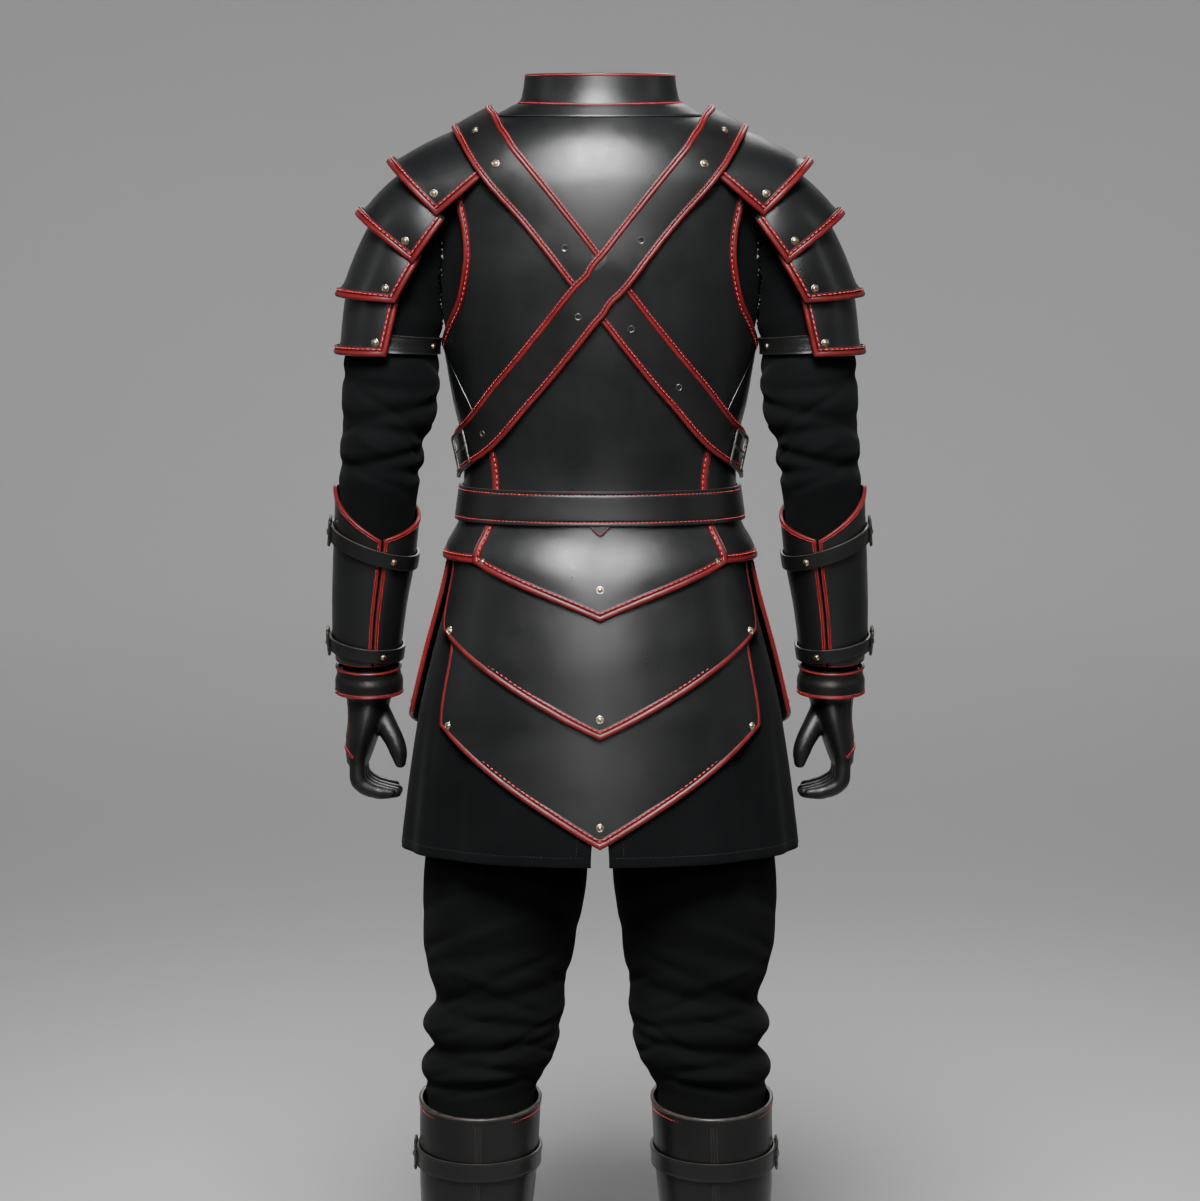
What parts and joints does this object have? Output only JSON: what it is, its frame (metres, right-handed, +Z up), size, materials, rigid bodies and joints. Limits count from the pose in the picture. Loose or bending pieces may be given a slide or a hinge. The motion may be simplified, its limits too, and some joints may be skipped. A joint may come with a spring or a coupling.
{
  "type": "leather armour set",
  "caption": "Black leather armour worn over a cloth tunic and trousers: cuirass with collar, shoulder lames, hanging plates, belt, forearm guards, gloves and boots, with red bound edges.",
  "frame": {"origin": "middle of the set at the height of the shoulder seams, where the wearer's shoulders carry it", "axes": "+Z up, +Y the way the wearer looks, so the back faces -Y and the wearer's right is +X"},
  "size_m": [0.6336, 0.4008, 1.5662],
  "materials": {
    "black_leather": "satin black, red bound edges",
    "strap_leather": "dull black",
    "tunic_cloth": "matt black weave",
    "trouser_cloth": "matt black twill",
    "glove_leather": "thin black",
    "boot_leather": "worn black",
    "boot_sole": "matt",
    "buckle_steel": "aged",
    "red_binding": "oxblood, rolled edges"
  },
  "bodies": {
    "root": {"back_panel": "black_leather", "front_panel": "black_leather", "collar": "black_leather", "rear_plate_middle": "black_leather", "rear_plate_lower": "black_leather", "side_panel_left": "black_leather", "side_panel_right": "black_leather", "hip_plate_left": "black_leather", "hip_plate_right": "black_leather", "shoulder_lame_1_left": "black_leather", "shoulder_lame_2_left": "black_leather", "shoulder_lame_3_left": "black_leather", "shoulder_lame_4_left": "black_leather", "shoulder_lame_1_right": "black_leather", "shoulder_lame_2_right": "black_leather", "shoulder_lame_3_right": "black_leather", "shoulder_lame_4_right": "black_leather", "forearm_guard_left": "black_leather", "forearm_guard_right": "black_leather", "belt": "strap_leather", "cross_strap_left": "strap_leather", "cross_strap_right": "strap_leather", "arm_strap_left": "strap_leather", "arm_strap_right": "strap_leather", "forearm_strap_upper_left": "strap_leather", "forearm_strap_upper_right": "strap_leather", "forearm_strap_lower_left": "strap_leather", "forearm_strap_lower_right": "strap_leather", "boot_strap_left": "strap_leather", "boot_strap_right": "strap_leather", "tunic_bodice": "tunic_cloth", "tunic_yoke_left": "tunic_cloth", "tunic_yoke_right": "tunic_cloth", "tunic_skirt_left": "tunic_cloth", "tunic_skirt_right": "tunic_cloth", "tunic_sleeve_left": "tunic_cloth", "tunic_sleeve_right": "tunic_cloth", "tunic_elbow_left": "tunic_cloth", "tunic_elbow_right": "tunic_cloth", "tunic_foresleeve_left": "tunic_cloth", "tunic_foresleeve_right": "tunic_cloth", "trousers_left": "trouser_cloth", "trousers_right": "trouser_cloth", "glove_left": "glove_leather", "glove_right": "glove_leather", "glove_cuff_left": "glove_leather", "glove_cuff_right": "glove_leather", "boot_left": "boot_leather", "boot_right": "boot_leather", "boot_sole_left": "boot_sole", "boot_sole_right": "boot_sole", "belt_buckle": "buckle_steel", "side_buckle_left": "buckle_steel", "side_buckle_right": "buckle_steel", "boot_buckle_left": "buckle_steel", "boot_buckle_right": "buckle_steel", "forearm_buckle_upper_left": "buckle_steel", "forearm_buckle_upper_right": "buckle_steel", "forearm_buckle_lower_left": "buckle_steel", "forearm_buckle_lower_right": "buckle_steel"}
  },
  "joints": []
}
